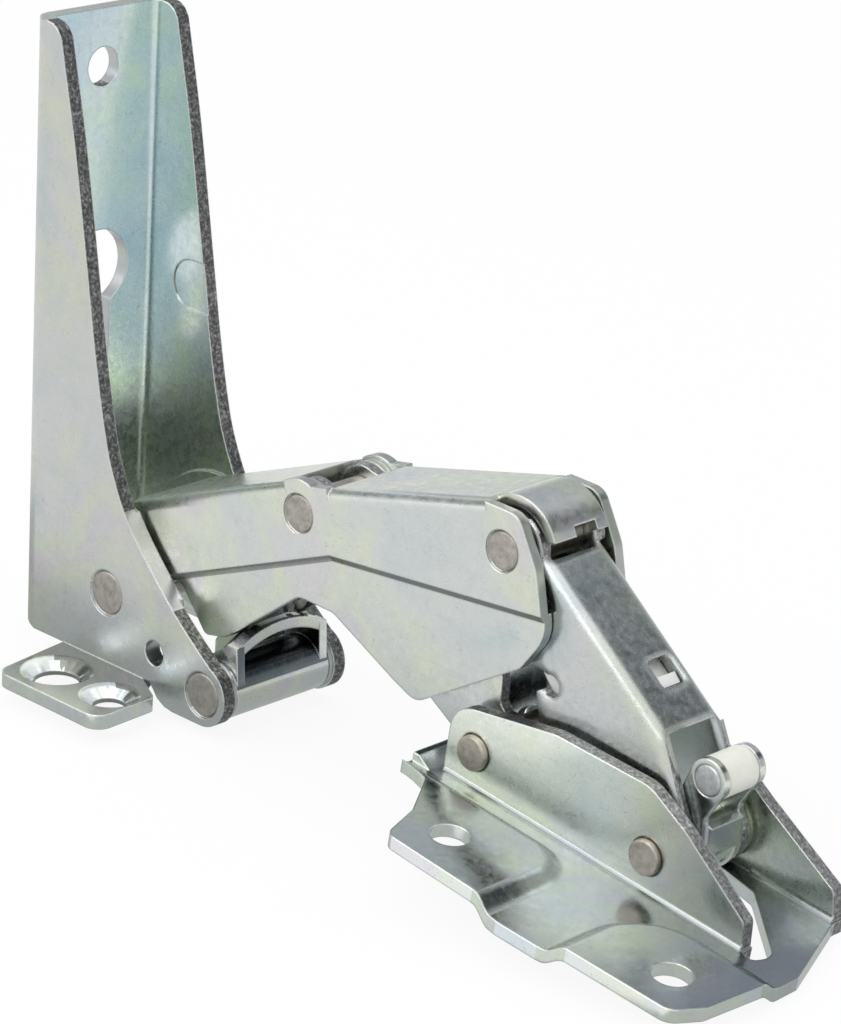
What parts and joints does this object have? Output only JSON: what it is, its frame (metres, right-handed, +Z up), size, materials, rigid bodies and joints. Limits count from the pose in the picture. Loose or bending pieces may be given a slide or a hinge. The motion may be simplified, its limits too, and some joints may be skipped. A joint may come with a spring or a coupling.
{
  "type": "refrigerator door hinge",
  "caption": "Concealed multi-link refrigerator door hinge: U-shaped cabinet bracket, folded arm, links, rivets and a flanged door base with a cream roller, shown open.",
  "frame": {"origin": "back face of the bracket web, on the middle plane, level with the arm pin", "axes": "+Z up along the bracket web, +X from the web out along the open arm, +Y away from the folded screw foot"},
  "size_m": [0.1331, 0.0394, 0.0878],
  "materials": {
    "zinc_steel": "bright zinc plate with a faint passivation tint",
    "rivet_steel": "satin turned rivet steel",
    "washer_steel": "satin",
    "spring_steel": "drawn wire",
    "white_plastic": "moulded acetal",
    "cream_plastic": "moulded acetal"
  },
  "bodies": {
    "bracket": {"bracket": "zinc_steel", "arm_pin": "rivet_steel", "arm_washer_left": "washer_steel", "arm_washer_right": "washer_steel", "guide_pin": "rivet_steel", "guide_washer_left": "washer_steel", "guide_washer_right": "washer_steel"},
    "guide_link": {"guide_link": "zinc_steel"},
    "arm": {"arm": "zinc_steel", "inner_link_pin": "rivet_steel", "inner_washer_left": "washer_steel", "inner_washer_right": "washer_steel", "front_link_pin": "rivet_steel"},
    "inner_link": {"inner_link": "zinc_steel", "guide_link_pin": "rivet_steel"},
    "front_link": {"front_link": "zinc_steel", "spring_seat_pin": "rivet_steel", "closing_spring": "spring_steel"},
    "slider": {"spring_slider": "white_plastic"},
    "base": {"base_plate": "zinc_steel", "rear_base_pin": "rivet_steel", "rear_spacer_left": "washer_steel", "rear_spacer_right": "washer_steel", "front_base_pin": "rivet_steel", "front_washer_left": "washer_steel", "front_washer_right": "washer_steel", "roller_lever": "zinc_steel", "roller_pin": "rivet_steel"},
    "roller": {"roller": "cream_plastic"}
  },
  "joints": [
    {"name": "arm_swing", "type": "hinge", "parent": "bracket", "child": "arm", "pos_m": [0.0175, 0, 0], "axis": [0, -1, 0], "range_deg": [0, 66]},
    {"name": "guide_swing", "type": "hinge", "parent": "bracket", "child": "guide_link", "pos_m": [0.03645, 0, -0.0082], "axis": [0, -1, 0], "range_deg": [0, 66]},
    {"name": "inner_swing", "type": "hinge", "parent": "arm", "child": "inner_link", "pos_m": [0.0493, 0, 0.0201], "axis": [0, -1, 0], "range_deg": [-66, 0]},
    {"name": "front_swing", "type": "hinge", "parent": "arm", "child": "front_link", "pos_m": [0.0838, 0, 0.0258], "axis": [0, -1, 0], "range_deg": [-58, 0]},
    {"name": "base_swing", "type": "hinge", "parent": "front_link", "child": "base", "pos_m": [0.11012, 0, -0.00439], "axis": [0, -1, 0], "range_deg": [0, 79]},
    {"name": "roller_spin", "type": "hinge", "parent": "base", "child": "roller", "pos_m": [0.11462, 0, 0.00571], "axis": [0, -1, 0], "continuous": true},
    {"name": "slider_push", "type": "slide", "parent": "front_link", "child": "slider", "axis": [-0.6571, 0, 0.7538], "range_m": [0, 0.002], "stiffness_N_per_m": 1500, "springref_m": -0.003, "deforming": ["closing_spring"]}
  ],
  "couplings": [
    {"joint": "guide_swing", "follows": "arm_swing", "ratio": 1},
    {"joint": "inner_swing", "follows": "arm_swing", "ratio": -1},
    {"joint": "front_swing", "follows": "arm_swing", "ratio": -0.8711},
    {"joint": "base_swing", "follows": "arm_swing", "ratio": 1.1907}
  ]
}
